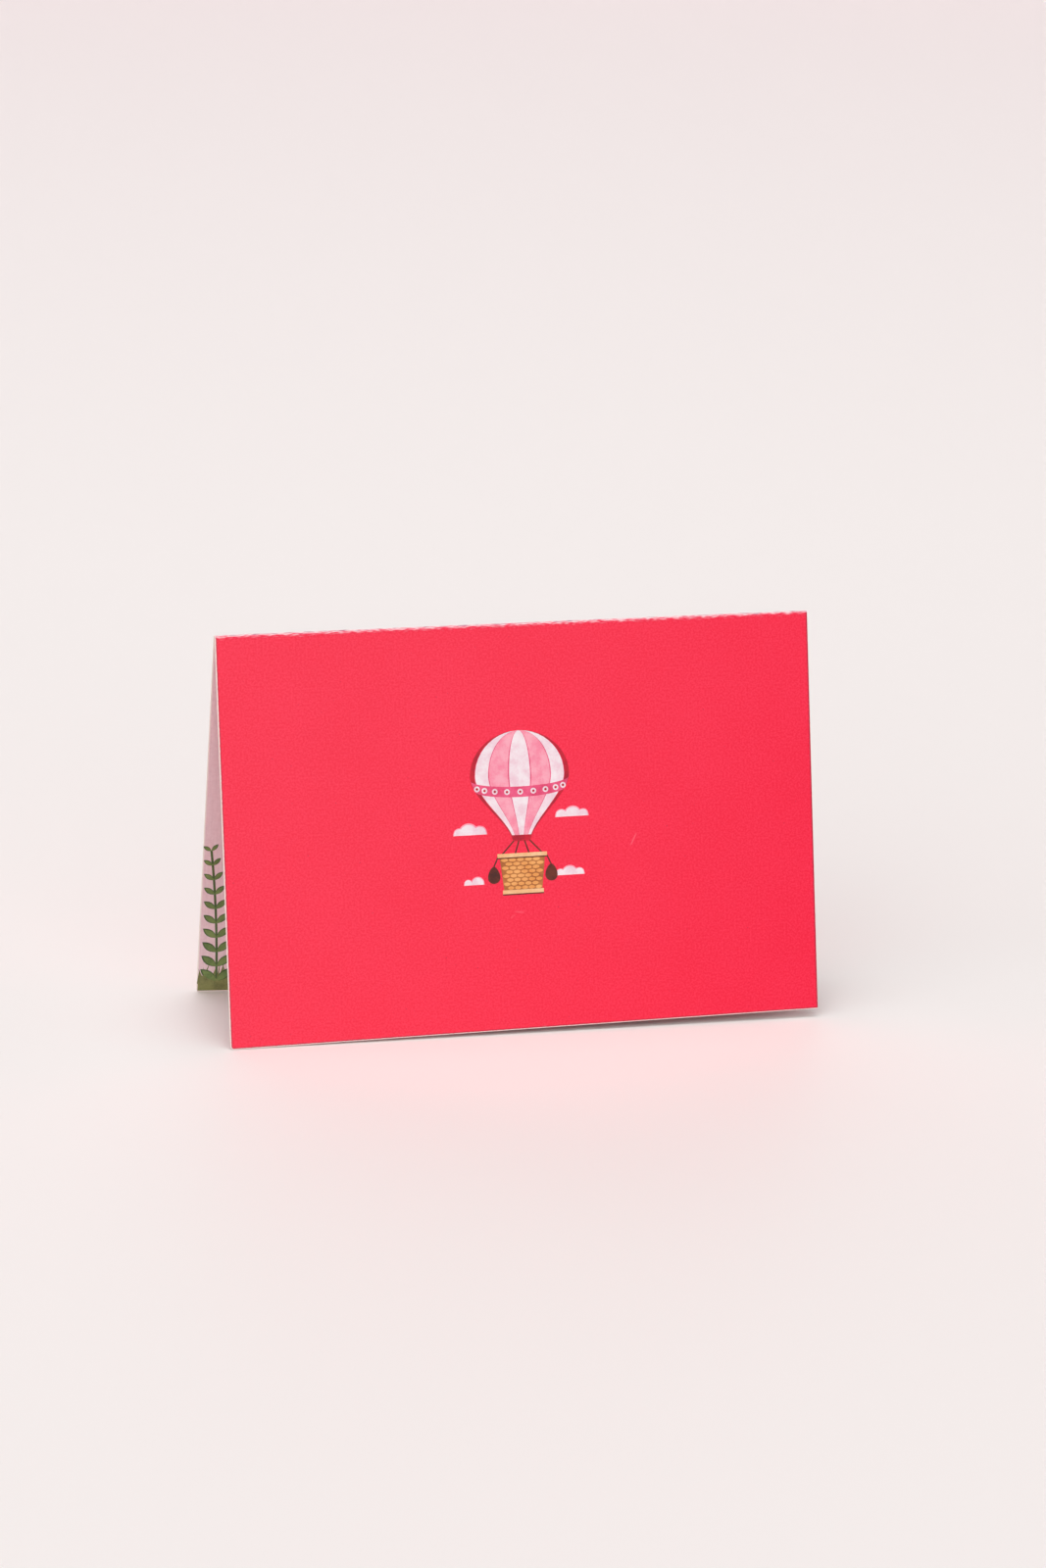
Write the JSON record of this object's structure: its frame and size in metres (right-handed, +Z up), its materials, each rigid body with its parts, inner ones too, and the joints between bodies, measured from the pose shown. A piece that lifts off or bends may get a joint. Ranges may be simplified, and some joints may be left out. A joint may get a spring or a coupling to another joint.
{
  "type": "greeting card",
  "caption": "Landscape greeting card: a sheet of coated card folded once along its top, printed in coral red with a small centred picture, standing open as a tent.",
  "frame": {"origin": "middle of the bounding box, on the table that the card stands on", "axes": "+X along the crease, to the right seen from the front; +Y from the front panel to the back panel; +Z up"},
  "size_m": [0.1514, 0.0442, 0.0998],
  "materials": {
    "coated_card": "satin coral-red print outside and pale mauve print inside, on white coated card"
  },
  "bodies": {
    "root": {"card": "coated_card"}
  },
  "joints": []
}
